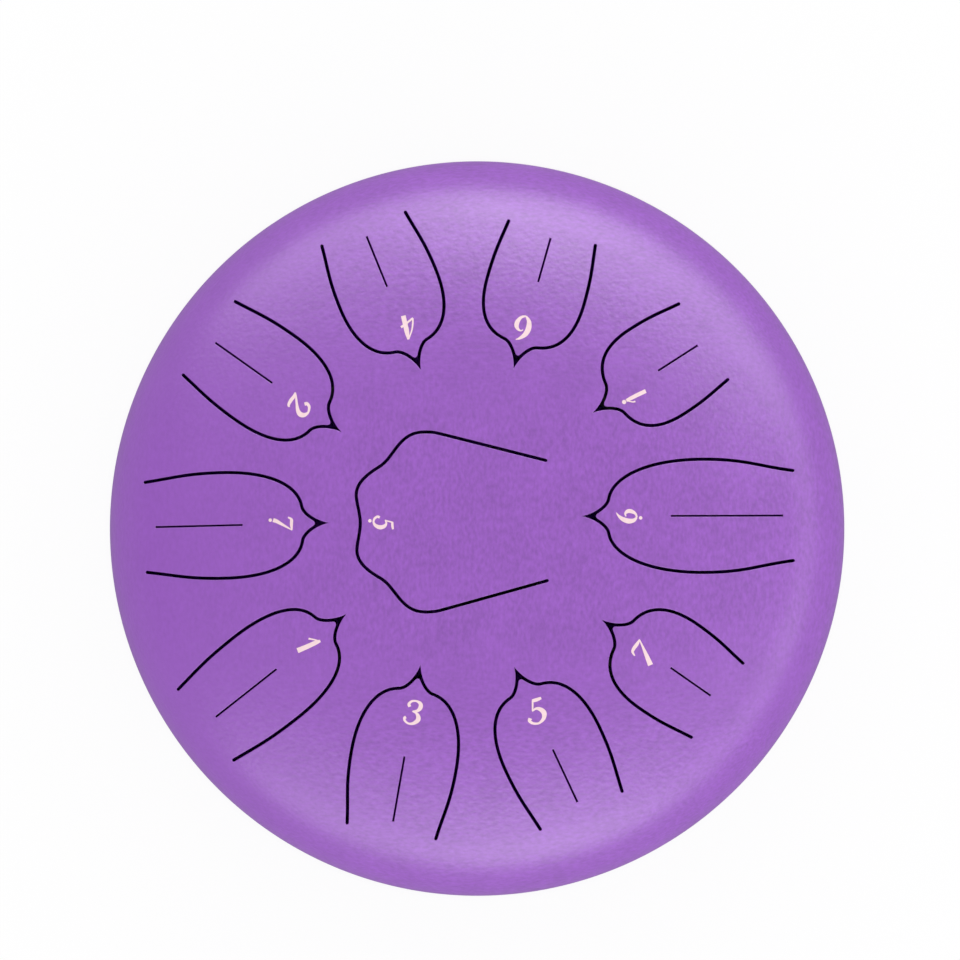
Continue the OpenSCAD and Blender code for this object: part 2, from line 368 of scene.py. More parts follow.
def grown(loop, distance):
    # The loop runs anticlockwise, and each point moves out along its mitre
    found = []
    for i, p in enumerate(loop):
        a = (p - loop[i - 1]).normalized()
        b = (loop[(i + 1) % len(loop)] - p).normalized()
        out = Vector((a.y + b.y, -a.x - b.x))
        if out.length < topShell["hairpin"]:
            out = a - b
        out.normalize()
        mitre = 1 / max(out.dot(Vector((a.y, -a.x))), 1 / topShell["mitreLimit"])
        found.append((p + out * distance * mitre, out))
    return found


def signedArea(loop):
    return sum(p.x * q.y - p.y * q.x for p, q in zip(loop, loop[1:] + loop[:1])) / 2


def fillPoints(taken, limit, step):
    # Rings of points across the cap, kept clear of the points already taken
    tree = KDTree(len(taken))
    for i, p in enumerate(taken):
        tree.insert((p.x, p.y, 0), i)
    tree.balance()
    found = [Vector((0, 0))]
    for k, r in enumerate(evenRadii(limit, step)[:-1]):
        count = round(2 * math.pi * r / step)
        for i in range(count):
            a = 2 * math.pi * (i + 0.5 * (k % 2)) / count
            p = Vector((r * math.cos(a), r * math.sin(a)))
            if tree.find((p.x, p.y, 0))[2] > topShell["clearShare"] * step:
                found.append(p)
    return found


def addCap(points, faces, verts, tris):
    # The dome's upper side, then its underside. Gives the normals at the points of both.
    normals = []
    for v in verts:
        p, n = onShell(v.x, v.y)
        points.append(p)
        normals.append(n)
    for v in verts:
        p, n = onShell(v.x, v.y, drum["sheet"])
        points.append(p)
        normals.append((-n[0], -n[1], -n[2]))
    count = len(verts)
    for a, b, c in tris:
        faces.append(((a, b, c), (normals[a], normals[b], normals[c]), 0))
        a, b, c = count + a, count + c, count + b
        faces.append(((a, b, c), (normals[a], normals[b], normals[c]), 1))
    return normals


def addSlit(points, faces, loop, wide, over, under, normals):
    # The slit's rounded upper edge, its wall, and a strip of the underside out to the cap's own points
    size = len(loop)
    level = [over]
    shades = [[normals[i] for i in over]]
    for s in range(1, topShell["edgeSteps"] + 1):
        turn = 0.5 * math.pi * s / topShell["edgeSteps"]
        share = 1 - math.sin(turn)
        drop = topShell["edgeRound"] * (1 - math.cos(turn))
        row, rowNormals = [], []
        for p, (q, out) in zip(loop, wide):
            spot = p + (q - p) * share
            up, n = onShell(spot.x, spot.y)
            row.append(len(points))
            points.append((spot.x, spot.y, up[2] - drop))
            mixed = Vector(n) * math.cos(turn) - Vector((out.x, out.y, 0)) * math.sin(turn)
            rowNormals.append(tuple(mixed.normalized()))
        level.append(row)
        shades.append(rowNormals)
    low = []
    for p in loop:
        low.append(len(points))
        points.append(onShell(p.x, p.y, drum["sheet"])[0])
    for k in range(len(level) - 1):
        for i in range(size):
            j = (i + 1) % size
            corners = (level[k + 1][j], level[k + 1][i], level[k][i], level[k][j])
            faces.append((corners, (shades[k + 1][j], shades[k + 1][i], shades[k][i], shades[k][j]), 0))
    wall = shades[-1]
    # The walls take material 2, the slits' painted shade
    for i in range(size):
        j = (i + 1) % size
        corners = (level[-1][i], level[-1][j], low[j], low[i])
        faces.append((corners, (wall[i], wall[j], wall[j], wall[i]), 2))
        near, far = normals[under[i]], normals[under[j]]
        faces.append(((low[i], low[j], under[j], under[i]), (near, far, far, near), 1))


def shoulderRows(inset, sign):
    arcR, arcZ, arc = profile[-1][:3]
    start = math.asin(surfaceAt(topShell["capRadius"], inset)[1])
    rows = []
    for s in range(topShell["shoulderSteps"] + 1):
        slope = start + (math.pi / 2 - start) * s / topShell["shoulderSteps"]
        rows.append((arcR + (arc - inset) * math.sin(slope), arcZ + (arc - inset) * math.cos(slope),
                     sign * math.sin(slope), sign * math.cos(slope)))
    return rows


def makeTopShell(materials):
    steps = drum["ringSteps"]
    loops = [outline if signedArea(outline) > 0 else outline[::-1] for outline in allOutlines()]
    grownLoops = [grown(loop, topShell["edgeRound"]) for loop in loops]
    flat = [topShell["capRadius"] * way(360 * i / steps) for i in range(steps)]
    outlines = [list(range(steps))]
    for loop in grownLoops:
        outlines.append(list(range(len(flat), len(flat) + len(loop))))
        flat += [p for p, out in loop]
    flat += fillPoints(flat, topShell["capRadius"], topShell["domeStep"])
    verts, tris, place = cutSheet(flat, outlines, topShell["closeness"], clearOfHoles)
    print("cap:", len(verts), "points,", len(tris), "triangles")

    points, faces, count = [], [], len(verts)
    normals = addCap(points, faces, verts, tris)
    over = [[place[i] for i in ids] for ids in outlines]
    under = [[count + i for i in ids] for ids in over]
    for loop, wide, above, below in zip(loops, grownLoops, over[1:], under[1:]):
        addSlit(points, faces, loop, wide, above, below, normals)

    outerR, innerR = drum["radius"], drum["radius"] - drum["sheet"]
    seam, leg, skirtTop = drum["seam"], drum["weldLeg"], profile[-1][1]
    last = addRings(points, faces, shoulderRows(0, 1), steps, 0, over[0])
    skirt = [(outerR, skirtTop + (seam + leg - skirtTop) * s / topShell["skirtSteps"], 1, 0)
             for s in range(topShell["skirtSteps"] + 1)]
    last = addRings(points, faces, skirt, steps, 0, last)
    last = addWalls(points, faces, [(outerR, seam + leg), (outerR - leg, seam), (innerR, seam)], 0, last)
    inside = addWalls(points, faces, [(innerR, seam), (innerR, skirtTop)], 1, last)
    addRings(points, faces, shoulderRows(drum["sheet"], -1)[::-1], steps, 1, inside, under[0])
    makePiece("top_shell_steel", points, faces, materials, ("top_shell",))


# Bottom shell
bottomShell = {
    "base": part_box("bottom_shell")[0].z / mm,
    "knuckleRadius": 52.0,
    "knuckleSteps": 24,
    "wallSteps": 6,
    "lipHeight": 9.0,
    "lipGap": 0.15,
    "lipLead": 0.8,
    "soundHole": 35.0,
    "screwHole": 2.75,
    "holeEdge": 0.5,
    "edgeSteps": 4,
    "soundHoleSteps": 180,
    "screwHoleSteps": 48,
    "closeness": 1e-6,
}


def footPlaces():
    boxes = [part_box("foot_%d" % i) for i in (1, 2, 3, 4)]
    return [((low.x + high.x) / 2 / mm, (low.y + high.y) / 2 / mm) for low, high in boxes]


def makeBottomShell(materials):
    steps, sheet, base = drum["ringSteps"], drum["sheet"], bottomShell["base"]
    outerR, innerR = drum["radius"], drum["radius"] - drum["sheet"]
    seam, leg, knuckle = drum["seam"], drum["weldLeg"], bottomShell["knuckleRadius"]
    edge, flatR, kneeZ = bottomShell["holeEdge"], outerR - knuckle, base + knuckle
    holes = [((0, 0), bottomShell["soundHole"], bottomShell["soundHoleSteps"])]
    holes += [(place, bottomShell["screwHole"], bottomShell["screwHoleSteps"]) for place in footPlaces()]
    flat = [flatR * way(360 * i / steps) for i in range(steps)]
    loops = [list(range(steps))]
    for centre, r, count in holes:
        loops.append(list(range(len(flat), len(flat) + count)))
        flat += [Vector(centre) + (r + edge) * way(360 * i / count) for i in range(count)]
    verts, tris, place = cutSheet(flat, loops, bottomShell["closeness"], clearOfHoles)
    count = len(verts)
    points = [(v.x, v.y, base) for v in verts] + [(v.x, v.y, base + sheet) for v in verts]
    faces = []
    for a, b, c in tris:
        faces.append(((a, c, b), ((0, 0, -1),) * 3, 0))
        faces.append(((count + a, count + b, count + c), ((0, 0, 1),) * 3, 1))

    for (centre, r, number), loop in zip(holes, loops[1:]):
        rows = []
        for k in range(bottomShell["edgeSteps"] + 1):
            turn = math.pi / 2 * k / bottomShell["edgeSteps"]
            rows.append((r + edge * (1 - math.sin(turn)), base + edge * (1 - math.cos(turn)),
                         -math.sin(turn), -math.cos(turn)))
        rows += [(radius, 2 * base + sheet - z, out, -up) for radius, z, out, up in rows[::-1]]
        ring = [place[i] for i in loop]
        addRings(points, faces, rows, number, 0, ring, [count + i for i in ring], centre)

    def kneeRows(radius, sign):
        rows = []
        for k in range(bottomShell["knuckleSteps"] + 1):
            turn = math.pi / 2 * k / bottomShell["knuckleSteps"]
            out, up = math.sin(turn), -math.cos(turn)
            rows.append((flatR + radius * out, kneeZ + radius * up, sign * out, sign * up))
        return rows

    gap, lead = bottomShell["lipGap"], bottomShell["lipLead"]
    lipR, lipTop = innerR - gap, seam + bottomShell["lipHeight"]
    outer = [place[i] for i in range(steps)]
    last = addRings(points, faces, kneeRows(knuckle - sheet, -1), steps, 1, [count + i for i in outer])
    last = addWalls(points, faces, [
        (innerR, kneeZ), (innerR, seam - 2 * sheet - gap), (lipR - sheet, seam - sheet / 2),
        (lipR - sheet, lipTop), (lipR - lead, lipTop), (lipR, lipTop - lead), (lipR, seam)], 1, last)
    last = addWalls(points, faces, [(lipR, seam), (outerR - leg, seam), (outerR, seam - leg)], 0, last)
    wall = [(outerR, seam - leg + (kneeZ - seam + leg) * k / bottomShell["wallSteps"], 1, 0)
            for k in range(bottomShell["wallSteps"] + 1)]
    last = addRings(points, faces, wall, steps, 0, last)
    addRings(points, faces, kneeRows(knuckle, 1)[::-1], steps, 0, last, outer)
    makePiece("bottom_shell_steel", points, faces, materials, ("bottom_shell",))


# Weld bead round the rim
weld = {
    "toeDepth": 0.5,
    "crownDepth": 0.05,
    "ripples": 368,
    "stepsPerRipple": 6,
    "rippleDepth": 0.08,
    "rippleBend": 0.35,
    "rows": 9,
    # Normals are measured over this small step
    "slopeStep": 0.01,
}


def beadPoint(share, angle):
    # A spot on the bead: share runs from its upper toe to its lower one
    turn = math.pi * share
    height = (drum["weldLeg"] - weld["toeDepth"]) * math.cos(turn)
    wave = 0.5 - 0.5 * math.cos(weld["ripples"] * angle + 2 * math.pi * weld["rippleBend"] * math.sin(turn))
    rise = (weld["toeDepth"] - weld["crownDepth"] - weld["rippleDepth"] * wave) * math.sin(turn)
    r = drum["radius"] - weld["toeDepth"] + rise
    return Vector((r * math.cos(angle), r * math.sin(angle), drum["seam"] + height))


def makeWeld(material):
    steps, rows, small = weld["ripples"] * weld["stepsPerRipple"], weld["rows"], weld["slopeStep"]
    points, normals, faces = [], [], []
    for k in range(rows):
        for i in range(steps):
            share, angle = k / (rows - 1), 2 * math.pi * i / steps
            points.append(beadPoint(share, angle))
            down = beadPoint(share + small, angle) - beadPoint(share - small, angle)
            turn = small / drum["radius"]
            across = beadPoint(share, angle + turn) - beadPoint(share, angle - turn)
            normals.append(down.cross(across).normalized())
    for k in range(rows - 1):
        for i in range(steps):
            j = (i + 1) % steps
            corners = (k * steps + i, (k + 1) * steps + i, (k + 1) * steps + j, k * steps + j)
            faces.append((corners, [normals[c] for c in corners], 0))
    upper, lower = list(range(steps)), list(range((rows - 1) * steps, rows * steps))
    toe, seam, slant = weld["toeDepth"], drum["seam"], math.sqrt(0.5)
    outerR, leg = drum["radius"], drum["weldLeg"]
    low = [(outerR - toe, seam - leg + toe, -slant, -slant), (outerR - leg, seam, -slant, -slant)]
    high = [(outerR - leg, seam, -slant, slant), (outerR - toe, seam + leg - toe, -slant, slant)]
    root = addRings(points, faces, low, steps, 0, lower)
    addRings(points, faces, high, steps, 0, root, upper)
    makePiece("rim_weld_bead", points, faces, [material], ("rim_weld",))


# Painted numerals
numerals = {
    "lift": 0.05,
    "depth": 0.1,
    # Strokes are drawn in a square cell of so many units, with y down. Its middle lies on the
    # numeral's place, and it is as wide on the drum as cellWidth says.
    "cell": 380,
    "cellWidth": 19.4,
    "closeness": 1e-5,
    "curveSteps": 8,
    "dotSteps": 28,
    # x and y on the drum in millimetres. The top of each numeral points to the drum's centre, and
    # that of the middle tongue's numeral along +X.
    "places": {
        "low_five": (-38.9, 2.2), "low_six": (61.7, 4.7), "low_seven": (-80.2, 2.6),
        "one": (-68.3, -48.1), "two": (-72.8, 50.0), "three": (-26.2, -75.4), "four": (-28.3, 81.9),
        "five": (24.5, -74.6), "six": (19.2, 81.5), "seven": (67.0, -51.7), "high_one": (64.5, 53.7),
    },
    # Strokes as (x, y, width), and dots as (x, y, radius)
    "strokes": {
        "low_five": (
            ((182, 106, 18), (212, 105, 20), (240, 100, 16)),
            ((186, 99, 12), (176, 135, 11), (167, 165, 10)),
            ((166, 163, 10), (190, 154, 16), (214, 168, 28), (224, 203, 34), (209, 240, 26),
             (182, 256, 16), (154, 247, 18), (139, 224, 20), (146, 206, 20)),
        ),
        "low_six": (
            ((232, 96, 5), (205, 113, 18), (176, 145, 34), (157, 190, 40), (160, 232, 30), (182, 258, 14)),
            ((182, 258, 14), (212, 248, 20), (234, 215, 32), (235, 187, 30), (218, 168, 18), (195, 172, 8)),
        ),
        "low_seven": (
            ((150, 134, 12), (158, 115, 16), (172, 104, 24), (210, 104, 24), (250, 98, 10)),
            ((252, 96, 8), (226, 145, 16), (202, 190, 24), (184, 225, 30), (176, 252, 32)),
        ),
        "one": (
            ((134, 164, 16), (150, 148, 12), (175, 125, 12), (200, 108, 12)),
            ((203, 97, 20), (193, 140, 34), (180, 210, 38), (162, 293, 42)),
        ),
        "two": (
            ((152, 162, 26), (138, 148, 26), (150, 118, 22), (190, 101, 18), (225, 115, 34), (238, 145, 40),
             (222, 180, 30), (185, 215, 20), (145, 250, 16), (118, 278, 14)),
            ((116, 277, 10), (150, 268, 26), (190, 270, 28), (228, 265, 22), (240, 250, 10)),
        ),
        "three": (
            ((150, 150, 24), (136, 132, 24), (150, 104, 18), (185, 90, 16), (222, 100, 30), (232, 130, 34),
             (218, 160, 24), (185, 178, 12)),
            ((180, 178, 10), (215, 182, 20), (240, 205, 34), (245, 232, 36), (222, 265, 26), (185, 281, 16),
             (150, 270, 18), (138, 250, 22), (148, 238, 22)),
        ),
        "four": (
            ((213, 103, 10), (165, 165, 12), (140, 215, 14), (128, 250, 14)),
            ((126, 254, 14), (160, 240, 16), (200, 226, 16), (240, 214, 20)),
            ((217, 102, 14), (208, 160, 36), (200, 230, 38), (193, 296, 38)),
        ),
        "five": (
            ((178, 100, 26), (215, 102, 28), (254, 100, 20)),
            ((182, 98, 14), (170, 135, 14), (156, 176, 12)),
            ((152, 178, 12), (190, 168, 20), (222, 188, 34), (238, 222, 40), (221, 262, 30), (175, 286, 18),
             (130, 274, 20), (108, 246, 26), (120, 228, 30)),
        ),
        "six": (
            ((236, 92, 6), (205, 112, 22), (172, 150, 38), (157, 200, 44), (165, 255, 34), (190, 286, 18),
             (200, 294, 14)),
            ((200, 294, 14), (232, 278, 22), (254, 240, 34), (256, 205, 36), (240, 180, 24), (215, 170, 12),
             (196, 182, 8)),
        ),
        "seven": (
            ((154, 154, 10), (160, 135, 16), (172, 117, 22), (200, 111, 28), (245, 110, 26), (280, 103, 8)),
            ((280, 102, 8), (255, 150, 16), (228, 200, 26), (200, 250, 36), (172, 300, 42)),
        ),
        "high_one": (
            ((161, 170, 14), (172, 150, 10), (200, 128, 10)),
            ((213, 118, 22), (203, 160, 30), (188, 225, 32), (172, 288, 32)),
        ),
    },
    "dots": {
        "low_five": (172, 285, 14), "low_six": (175, 288, 14), "low_seven": (177, 275, 14),
        "high_one": (215, 97, 17),
    },
}


def smoothed(spots):
    # A smooth curve through the spots
    spots = [Vector(p) for p in spots]
    chain = [2 * spots[0] - spots[1]] + spots + [2 * spots[-1] - spots[-2]]
    found = []
    for i in range(1, len(chain) - 2):
        a, b, c, d = chain[i - 1:i + 3]
        for s in range(numerals["curveSteps"]):
            t = s / numerals["curveSteps"]
            cubic = (3 * b - a - 3 * c + d) * t ** 3
            found.append((2 * b + (c - a) * t + (2 * a - 5 * b + 4 * c - d) * t * t + cubic) / 2)
    return found + [spots[-1]]


def strokeOutline(stroke):
    line = smoothed(stroke)
    left, right = [], []
    for i, p in enumerate(line):
        along = line[min(i + 1, len(line) - 1)] - line[max(i - 1, 0)]
        across = Vector((-along.y, along.x)).normalized() * p.z / 2
        left.append(p.xy + across)
        right.append(p.xy - across)
    return left + right[::-1]


def dotOutline(x, y, radius):
    steps = numerals["dotSteps"]
    return [Vector((x, y)) + radius * way(360 * i / steps) for i in range(steps)]


def makeNumeral(name, material):
    # The strokes' outlines are joined into one flat shape, laid on the dome as a thin closed slab
    outlines = [strokeOutline(stroke) for stroke in numerals["strokes"][name]]
    if name in numerals["dots"]:
        outlines.append(dotOutline(*numerals["dots"][name]))
    place = Vector(numerals["places"][name])
    up = (Vector((0, place.y if name == "low_five" else 0)) - place).normalized()
    right = Vector((up.y, -up.x))
    unit, half = numerals["cellWidth"] / numerals["cell"], numerals["cell"] / 2
    flat, loops = [], []
    for outline in outlines:
        loops.append(list(range(len(flat), len(flat) + len(outline))))
        flat += [place + (right * (p.x - half) + up * (half - p.y)) * unit for p in outline]
    loops = [loop if signedArea([flat[i] for i in loop]) > 0 else loop[::-1] for loop in loops]
    verts, tris = cutSheet(flat, loops, numerals["closeness"], bool)[:2]
    points, faces, normals = [], [], []
    for inset in (-numerals["lift"], numerals["depth"] - numerals["lift"]):
        for v in verts:
            p, n = onShell(v.x, v.y, inset)
            points.append(p)
            normals.append(n)
    count, border = len(verts), {}
    for a, b, c in tris:
        under = [tuple(-Vector(normals[k])) for k in (a, c, b)]
        faces.append(((a, b, c), (normals[a], normals[b], normals[c]), 0))
        faces.append(((count + a, count + c, count + b), under, 0))
        for pair in ((a, b), (b, c), (c, a)):
            if pair[::-1] in border:
                del border[pair[::-1]]
            else:
                border[pair] = True
    for a, b in border:
        run = (verts[b] - verts[a]).normalized()
        out = (run.y, -run.x, 0)
        faces.append(((a, count + a, count + b, b), (out, out, out, out), 0))
    makePiece("numeral_" + name, points, faces, [material])


# Materials
def newMaterial(name):
    material = bpy.data.materials.new(name)
    material.use_nodes = True
    tree = material.node_tree
    shader = tree.nodes["Principled BSDF"]
    return material, tree, shader


def addNode(tree, kind, operation=None):
    node = tree.nodes.new(kind)
    if operation:
        node.operation = operation
    return node


def addMath(tree, operation, first, second):
    step = addNode(tree, "ShaderNodeMath", operation)
    for socket, value in zip(step.inputs, (first, second)):
        if isinstance(value, bpy.types.NodeSocket):
            tree.links.new(value, socket)
        else:
            socket.default_value = value
    return step.outputs[0]


def mapped(tree, value, ends, results):
    spread = addNode(tree, "ShaderNodeMapRange")
    spread.inputs["From Min"].default_value, spread.inputs["From Max"].default_value = ends
    spread.inputs["To Min"].default_value, spread.inputs["To Max"].default_value = results
    tree.links.new(value, spread.inputs["Value"])
    return spread.outputs["Result"]


# Grain of a sprayed coat, with its places in metres from the drum's axis
sprayedGrain = {
    "inputs": {"Cells per metre": 430.0, "Wander": 0.9, "Fine share": 0.3, "Streaks per metre": 760.0},
    "driftPerMetre": 260,
    "cellSmoothness": 0.6,
    "finePerCell": 2.2,
    # Octaves of the noise that drifts and streaks, and of the finer one
    "softDetail": 2,
    "fineDetail": 3,
    # The streaks run along Y over the middle and along X towards both Y sides
    "middleStretch": (1, 0.5, 0.5),
    "sideStretch": (0.5, 1, 1),
    "sideEnds": (0.04, 0.085),
    "cloudsPerMetre": 60,
    "cloudShare": 0.25,
    # The coat is smoother on the -X side
    "roughEnds": (-0.12, -0.03),
    "roughShares": (0.35, 1),
    "toneEnds": (-0.2, 0.2),
}


def makeGrainGroup():
    # Fine leather-like wrinkles: a height, and a tone of short streaks over soft clouds
    group = bpy.data.node_groups.new("sprayedGrain", "ShaderNodeTree")
    for name, value in sprayedGrain["inputs"].items():
        socket = group.interface.new_socket(name=name, in_out="INPUT", socket_type="NodeSocketFloat")
        socket.default_value = value
    for name in ("Height", "Tone"):
        group.interface.new_socket(name=name, in_out="OUTPUT", socket_type="NodeSocketFloat")
    link = group.links.new
    inputs, outputs = addNode(group, "NodeGroupInput"), addNode(group, "NodeGroupOutput")
    coordinate = addNode(group, "ShaderNodeTexCoord")

    def scaledBy(vector, amount):
        scaled = addNode(group, "ShaderNodeVectorMath", "SCALE")
        link(vector, scaled.inputs[0])
        link(amount, scaled.inputs["Scale"])
        return scaled.outputs[0]

    def noise(vector, scale, detail):
        made = addNode(group, "ShaderNodeTexNoise")
        made.inputs["Scale"].default_value = scale
        made.inputs["Detail"].default_value = detail
        link(vector, made.inputs["Vector"])
        return made

    drift = noise(coordinate.outputs["Object"], sprayedGrain["driftPerMetre"], sprayedGrain["softDetail"])
    moved = addNode(group, "ShaderNodeVectorMath")
    link(scaledBy(coordinate.outputs["Object"], inputs.outputs["Cells per metre"]), moved.inputs[0])
    link(scaledBy(drift.outputs["Color"], inputs.outputs["Wander"]), moved.inputs[1])
    cells = addNode(group, "ShaderNodeTexVoronoi")
    cells.feature = "SMOOTH_F1"
    cells.inputs["Scale"].default_value = 1
    cells.inputs["Smoothness"].default_value = sprayedGrain["cellSmoothness"]
    link(moved.outputs[0], cells.inputs["Vector"])
    fine = noise(moved.outputs[0], sprayedGrain["finePerCell"], sprayedGrain["fineDetail"])
    mixed = addNode(group, "ShaderNodeMix")
    link(inputs.outputs["Fine share"], mixed.inputs["Factor"])
    link(cells.outputs["Distance"], mixed.inputs["A"])
    link(fine.outputs["Fac"], mixed.inputs["B"])
    link(mixed.outputs["Result"], outputs.inputs["Height"])

    def streaks(stretch):
        drawn = addNode(group, "ShaderNodeVectorMath", "MULTIPLY")
        drawn.inputs[1].default_value = stretch
        link(coordinate.outputs["Object"], drawn.inputs[0])
        spread = scaledBy(drawn.outputs[0], inputs.outputs["Streaks per metre"])
        return noise(spread, 1, sprayedGrain["softDetail"]).outputs["Fac"]

    parts = addNode(group, "ShaderNodeSeparateXYZ")
    link(coordinate.outputs["Object"], parts.inputs[0])
    fromMiddle = addMath(group, "ABSOLUTE", parts.outputs["Y"], 0)
    along = addNode(group, "ShaderNodeMix")
    link(mapped(group, fromMiddle, sprayedGrain["sideEnds"], (0, 1)), along.inputs["Factor"])
    link(streaks(sprayedGrain["middleStretch"]), along.inputs["A"])
    link(streaks(sprayedGrain["sideStretch"]), along.inputs["B"])
    clouds = noise(coordinate.outputs["Object"], sprayedGrain["cloudsPerMetre"], sprayedGrain["fineDetail"])
    share = sprayedGrain["cloudShare"]
    tone = addMath(group, "ADD", addMath(group, "MULTIPLY", along.outputs["Result"], 1 - share),
                   addMath(group, "MULTIPLY", clouds.outputs["Fac"], share))
    rough = mapped(group, parts.outputs["X"], sprayedGrain["roughEnds"], sprayedGrain["roughShares"])
    swing = addMath(group, "MULTIPLY", addMath(group, "SUBTRACT", tone, 0.5), rough)
    link(mapped(group, swing, sprayedGrain["toneEnds"], (0, 1)), outputs.inputs["Tone"])
    return group


def addGrain(tree, shader, group, coat):
    grain = addNode(tree, "ShaderNodeGroup")
    grain.node_tree = group
    grain.inputs["Cells per metre"].default_value = coat["grainCells"]
    bump = addNode(tree, "ShaderNodeBump")
    bump.inputs["Strength"].default_value = 1
    bump.inputs["Distance"].default_value = coat["grainDepth"] * mm
    tree.links.new(grain.outputs["Height"], bump.inputs["Height"])
    tree.links.new(bump.outputs["Normal"], shader.inputs["Normal"])
    return grain.outputs["Tone"]


def mixColours(tree, factor, first, second):
    mix = addNode(tree, "ShaderNodeMix")
    mix.data_type = "RGBA"
    tree.links.new(factor, mix.inputs["Factor"])
    for socket, value in ((mix.inputs["A"], first), (mix.inputs["B"], second)):
        if isinstance(value, bpy.types.NodeSocket):
            tree.links.new(value, socket)
        else:
            socket.default_value = value
    return mix.outputs["Result"]


def addColour(tree, shader, factor, coat):
    tree.links.new(mixColours(tree, factor, coat["deep"], coat["colour"]), shader.inputs["Base Color"])


paint = {
    "colour": (0.348, 0.099, 0.604, 1),
    "deep": (0.252, 0.071, 0.438, 1),
    "roughness": 0.36,
    "specular": 0.8,
    "grainDepth": 0.12,
    "grainCells": 520.0,
}


def makePaint(group):
    material, tree, shader = newMaterial("violet_paint")
    shader.inputs["Roughness"].default_value = paint["roughness"]
    shader.inputs["Specular IOR Level"].default_value = paint["specular"]
    addColour(tree, shader, addGrain(tree, shader, group, paint), paint)
    return material


numeralPaint = {
    "colour": (0.96, 0.725, 0.77, 1),
    "deep": (0.89, 0.655, 0.68, 1),
    "roughness": 0.45,
    "grainDepth": 0.06,
    "grainCells": 520.0,
}


def makeNumeralPaint(group):
    material, tree, shader = newMaterial("pale_numeral_paint")
    shader.inputs["Roughness"].default_value = numeralPaint["roughness"]
    addColour(tree, shader, addGrain(tree, shader, group, numeralPaint), numeralPaint)
    return material


def makeCloudGroup():
    # Soft clouds in a flat colour, for the inner coat and for the slit walls' painted shade
    group = bpy.data.node_groups.new("plainColourClouds", "ShaderNodeTree")
    group.interface.new_socket(name="Clouds across", in_out="INPUT", socket_type="NodeSocketFloat")
    group.interface.new_socket(name="Clouds", in_out="OUTPUT", socket_type="NodeSocketFloat")
    inputs, outputs = addNode(group, "NodeGroupInput"), addNode(group, "NodeGroupOutput")
    clouds = addNode(group, "ShaderNodeTexNoise")
    group.links.new(inputs.outputs["Clouds across"], clouds.inputs["Scale"])
    group.links.new(clouds.outputs["Fac"], outputs.inputs["Clouds"])
    return group


innerCoat = {
    "colour": (0.26, 0.04, 0.66, 1),
    "deep": (0.20, 0.03, 0.56, 1),
    "cloudsAcross": 90,
    "roughness": 0.7,
    "specular": 0.2,
}
# The slit walls' colour is painted shade: a near-black violet that stands in for the shade deep in the
# narrow slits
slitPaintedShade = {
    "colour": (0.055, 0.008, 0.15, 1),
    "deep": (0.040, 0.006, 0.11, 1),
    "cloudsAcross": 90,
    "roughness": 0.7,
    "specular": 0.2,
}


def makeCloudedColour(name, group, coat):
    material, tree, shader = newMaterial(name)
    clouds = addNode(tree, "ShaderNodeGroup")
    clouds.node_tree = group
    clouds.inputs["Clouds across"].default_value = coat["cloudsAcross"]
    addColour(tree, shader, clouds.outputs["Clouds"], coat)
    shader.inputs["Roughness"].default_value = coat["roughness"]
    shader.inputs["Specular IOR Level"].default_value = coat["specular"]
    return material


footRubber = {
    "colour": (0.034, 0.034, 0.036, 1),
    "deep": (0.022, 0.022, 0.023, 1),
    "roughness": 0.7,
    "grainDepth": 0.03,
    "grainCells": 1200.0,
}


def makeRubber(group):
    material, tree, shader = newMaterial("black_rubber")
    shader.inputs["Roughness"].default_value = footRubber["roughness"]
    addColour(tree, shader, addGrain(tree, shader, group, footRubber), footRubber)
    return material


zincPlate = {
    "colour": (0.54, 0.55, 0.56, 1),
    "deep": (0.42, 0.43, 0.45, 1),
    "roughnessEnds": (0.34, 0.5),
    "grainDepth": 0.008,
    "grainCells": 2600.0,
}


def makePlated(group):
    material, tree, shader = newMaterial("zinc_plate")
    shader.inputs["Metallic"].default_value = 1
    tone = addGrain(tree, shader, group, zincPlate)
    addColour(tree, shader, tone, zincPlate)
    tree.links.new(mapped(tree, tone, (0, 1), zincPlate["roughnessEnds"]), shader.inputs["Roughness"])
    return material


grainGroup = makeGrainGroup()
violet = makePaint(grainGroup)
pale = makeNumeralPaint(grainGroup)
cloudGroup = makeCloudGroup()
lining = makeCloudedColour("inner_coat", cloudGroup, innerCoat)
# The slit walls get the painted shade
slitShadeMaterial = makeCloudedColour("slit_wall_painted_shade", cloudGroup, slitPaintedShade)
rubber = makeRubber(grainGroup)
plated = makePlated(grainGroup)
print("materials made")

makeTopShell([violet, lining, slitShadeMaterial])
print("top shell made")
makeBottomShell([violet, lining])
makeWeld(violet)
print("bottom shell and weld made")
for name in numerals["places"]:
    makeNumeral(name, pale)
print("numerals made")

for name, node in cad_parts.items():
    kind = rubber if name.removeprefix("foot_").isdigit() else plated
    if name in ("top_shell", "bottom_shell", "rim_weld"):
        kind = violet
    node.data.materials.clear()
    node.data.materials.append(kind)
print("model's own pieces finished")


# Floor, with its distances in metres
floorLook = {
    "width": 6.0,
    "colour": (0.98, 0.98, 0.98, 1),
    "glow": (1, 1, 1, 1),
    "gloss": (0.3, 0.3, 0.3, 1),
    "roughness": 0.9,
    # Past the drum's own shade, which ends between these distances from its axis, the floor looks
    # almost white to the camera
    "white": 0.92,
    "shadeEnds": (0.12, 0.16),
    # Just under the sound hole the floor's colour is painted shade, near black, so that no light shows up
    # through the slits
    "dark": (0.02, 0.02, 0.03, 1),
    "paintedShadeEnds": (0.045, 0.055),
}


def mixShaders(tree, factor, first, second):
    blend = addNode(tree, "ShaderNodeMixShader")
    for socket, source in zip(blend.inputs, (factor, first.outputs[0], second.outputs[0])):
        tree.links.new(source, socket)
    return blend


